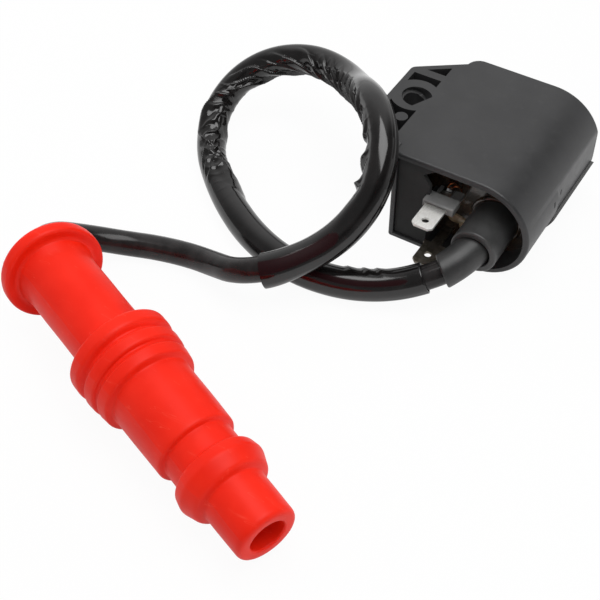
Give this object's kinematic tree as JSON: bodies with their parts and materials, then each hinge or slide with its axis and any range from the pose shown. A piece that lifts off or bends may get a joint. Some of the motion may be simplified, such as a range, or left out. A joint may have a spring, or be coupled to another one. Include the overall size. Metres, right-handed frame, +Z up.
{
  "type": "ignition coil",
  "caption": "Potted ignition coil with a side mounting lug and spade terminals, and a sleeved high-tension lead ending in a straight red silicone spark plug cap.",
  "frame": {"origin": "middle of the housing's flat underside, on its face", "axes": "X runs across the housing from the mounting lug's side (-X) to the rounded side (+X); Y runs from the open potted face with the terminals (-Y) to the closed back (+Y); Z is up from the flat underside"},
  "size_m": [0.1166, 0.1637, 0.0419],
  "materials": {
    "black_plastic": "satin moulded black plastic",
    "tinned_brass": "bright tin plate on brass",
    "solder": "bright solder",
    "resin": "glossy dark potting resin",
    "core_steel": "oxide-coated laminations",
    "bobbin_plastic": "natural moulded nylon",
    "copper_wire": "enamelled copper",
    "black_rubber": "satin black rubber",
    "lead_sheath": "smooth black lead sheath",
    "vinyl_sleeve": "glossy thin black vinyl",
    "red_silicone": "satin red silicone",
    "cap_plastic": "dark moulded thermoset",
    "ceramic": "glazed ceramic",
    "spring_steel": "plain steel wire"
  },
  "bodies": {
    "root": {"housing": "black_plastic", "front_plate": "black_plastic", "terminal_block": "black_plastic", "primary_terminal": "tinned_brass", "ground_terminal": "tinned_brass", "solder_joint": "solder", "potting_resin": "resin", "hv_tower": "black_plastic", "hv_spike": "tinned_brass", "core_laminations": "core_steel", "primary_bobbin": "bobbin_plastic", "primary_winding": "copper_wire", "primary_wires": "copper_wire", "secondary_bobbin": "bobbin_plastic", "secondary_winding": "copper_wire", "ht_wire": "copper_wire", "tower_boot": "black_rubber", "lead_insulation": "lead_sheath", "lead_conductor": "copper_wire", "lead_sleeve": "vinyl_sleeve", "cap_boot": "red_silicone", "cap_body": "cap_plastic", "cap_wire_screw": "tinned_brass", "cap_resistor": "ceramic", "cap_spring": "spring_steel", "cap_contact_clip": "tinned_brass"}
  },
  "joints": []
}
